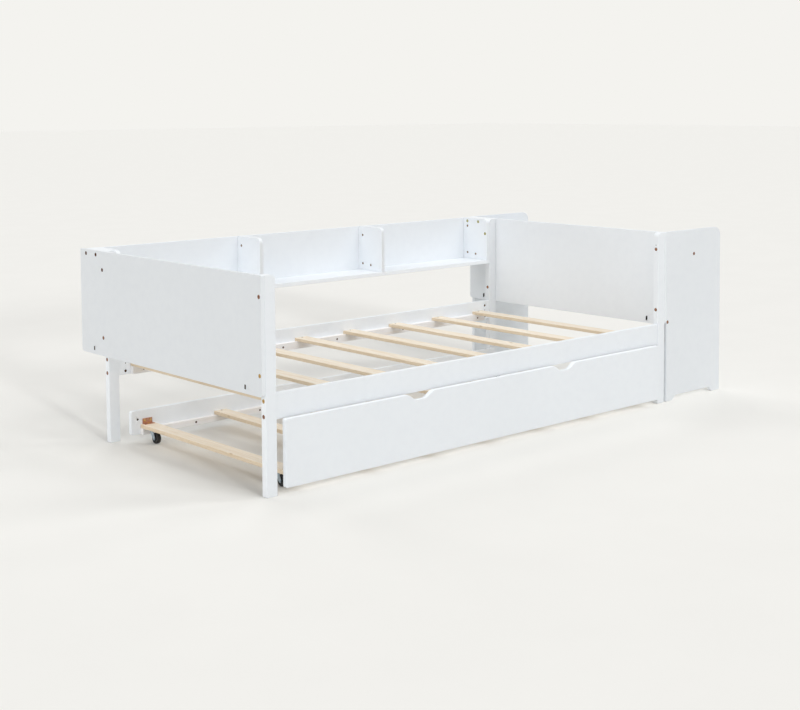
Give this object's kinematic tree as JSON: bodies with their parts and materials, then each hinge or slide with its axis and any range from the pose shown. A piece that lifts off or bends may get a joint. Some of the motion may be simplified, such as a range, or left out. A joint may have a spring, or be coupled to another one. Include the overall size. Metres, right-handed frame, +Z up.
{
  "type": "trundle bed",
  "caption": "Twin daybed with a compartment shelf along the back, a bookcase across one end and a low slatted trundle on casters that rolls out in front.",
  "frame": {"origin": "on the floor under the centre of the whole bed's bounding box, bookcase and trundle included", "axes": "+X along the bed towards the bookcase end, +Y from the open front to the shelf side, +Z up"},
  "size_m": [2.4, 1.18, 0.708],
  "materials": {
    "white_paint": "satin paint",
    "pine": "bare, sanded",
    "whitewashed_pine": "thin white wash",
    "bronzed_steel": "bronzed",
    "dark_bronzed_steel": "dark bronzed",
    "black_steel": "blackened",
    "zinc_steel": "zinc plated",
    "copper_coloured_steel": "copper-coloured plating",
    "black_rubber": "matte"
  },
  "bodies": {
    "bed_frame": {"end_panel_left": "white_paint", "end_panel_right": "white_paint", "post_front_left": "white_paint", "post_back_left": "white_paint", "post_front_right": "white_paint", "post_back_right": "white_paint", "rail_front": "white_paint", "rail_back": "white_paint", "deck_cleat_front": "whitewashed_pine", "deck_cleat_back": "whitewashed_pine", "deck_slat_1": "pine", "deck_slat_2": "pine", "deck_slat_3": "pine", "deck_slat_4": "pine", "deck_slat_5": "pine", "deck_slat_6": "pine", "deck_slat_7": "pine", "deck_slat_8": "pine", "back_panel": "white_paint", "shelf_board": "white_paint", "divider_left_end": "white_paint", "divider_left": "white_paint", "divider_right": "white_paint", "divider_right_end": "white_paint", "top_block_left": "white_paint", "top_block_right": "white_paint", "case_side_front": "white_paint", "case_side_back": "white_paint", "case_stretcher": "white_paint", "case_shelf_lower": "white_paint", "case_shelf_upper": "white_paint", "case_hooks": "black_steel", "panel_bolts": "bronzed_steel", "rail_bolts": "bronzed_steel", "shelf_unit_bolts": "bronzed_steel", "case_bolts": "bronzed_steel", "barrel_nuts": "dark_bronzed_steel", "deck_screws": "dark_bronzed_steel"},
    "trundle": {"trundle_front_board": "white_paint", "trundle_back_board": "white_paint", "trundle_cleat_front": "whitewashed_pine", "trundle_cleat_back": "whitewashed_pine", "trundle_slat_1": "pine", "trundle_slat_2": "pine", "trundle_slat_3": "pine", "trundle_slat_4": "pine", "trundle_slat_5": "pine", "trundle_slat_6": "pine", "trundle_slat_7": "pine", "trundle_brackets": "copper_coloured_steel", "trundle_screws": "dark_bronzed_steel", "caster_plates": "zinc_steel"},
    "swivel_front_left": {"caster_fork_front_left": "zinc_steel"},
    "wheel_front_left": {"caster_wheel_front_left": "black_rubber"},
    "swivel_front_right": {"caster_fork_front_right": "zinc_steel"},
    "wheel_front_right": {"caster_wheel_front_right": "black_rubber"},
    "swivel_back_left": {"caster_fork_back_left": "zinc_steel"},
    "wheel_back_left": {"caster_wheel_back_left": "black_rubber"},
    "swivel_back_right": {"caster_fork_back_right": "zinc_steel"},
    "wheel_back_right": {"caster_wheel_back_right": "black_rubber"}
  },
  "joints": [
    {"name": "trundle_slide", "type": "slide", "parent": "bed_frame", "child": "trundle", "axis": [0, -1, 0], "range_m": [0, 0.92]},
    {"name": "caster_swivel_front_left", "type": "hinge", "parent": "trundle", "child": "swivel_front_left", "pos_m": [-1.068, -0.472, 0.045], "axis": [0, 0, 1], "continuous": true},
    {"name": "caster_roll_front_left", "type": "hinge", "parent": "swivel_front_left", "child": "wheel_front_left", "pos_m": [-1.068, -0.488, 0.02], "axis": [1, 0, 0], "continuous": true},
    {"name": "caster_swivel_front_right", "type": "hinge", "parent": "trundle", "child": "swivel_front_right", "pos_m": [0.698, -0.472, 0.045], "axis": [0, 0, 1], "continuous": true},
    {"name": "caster_roll_front_right", "type": "hinge", "parent": "swivel_front_right", "child": "wheel_front_right", "pos_m": [0.698, -0.488, 0.02], "axis": [1, 0, 0], "continuous": true},
    {"name": "caster_swivel_back_left", "type": "hinge", "parent": "trundle", "child": "swivel_back_left", "pos_m": [-1.068, 0.308, 0.045], "axis": [0, 0, 1], "continuous": true},
    {"name": "caster_roll_back_left", "type": "hinge", "parent": "swivel_back_left", "child": "wheel_back_left", "pos_m": [-1.068, 0.292, 0.02], "axis": [1, 0, 0], "continuous": true},
    {"name": "caster_swivel_back_right", "type": "hinge", "parent": "trundle", "child": "swivel_back_right", "pos_m": [0.698, 0.308, 0.045], "axis": [0, 0, 1], "continuous": true},
    {"name": "caster_roll_back_right", "type": "hinge", "parent": "swivel_back_right", "child": "wheel_back_right", "pos_m": [0.698, 0.292, 0.02], "axis": [1, 0, 0], "continuous": true}
  ]
}
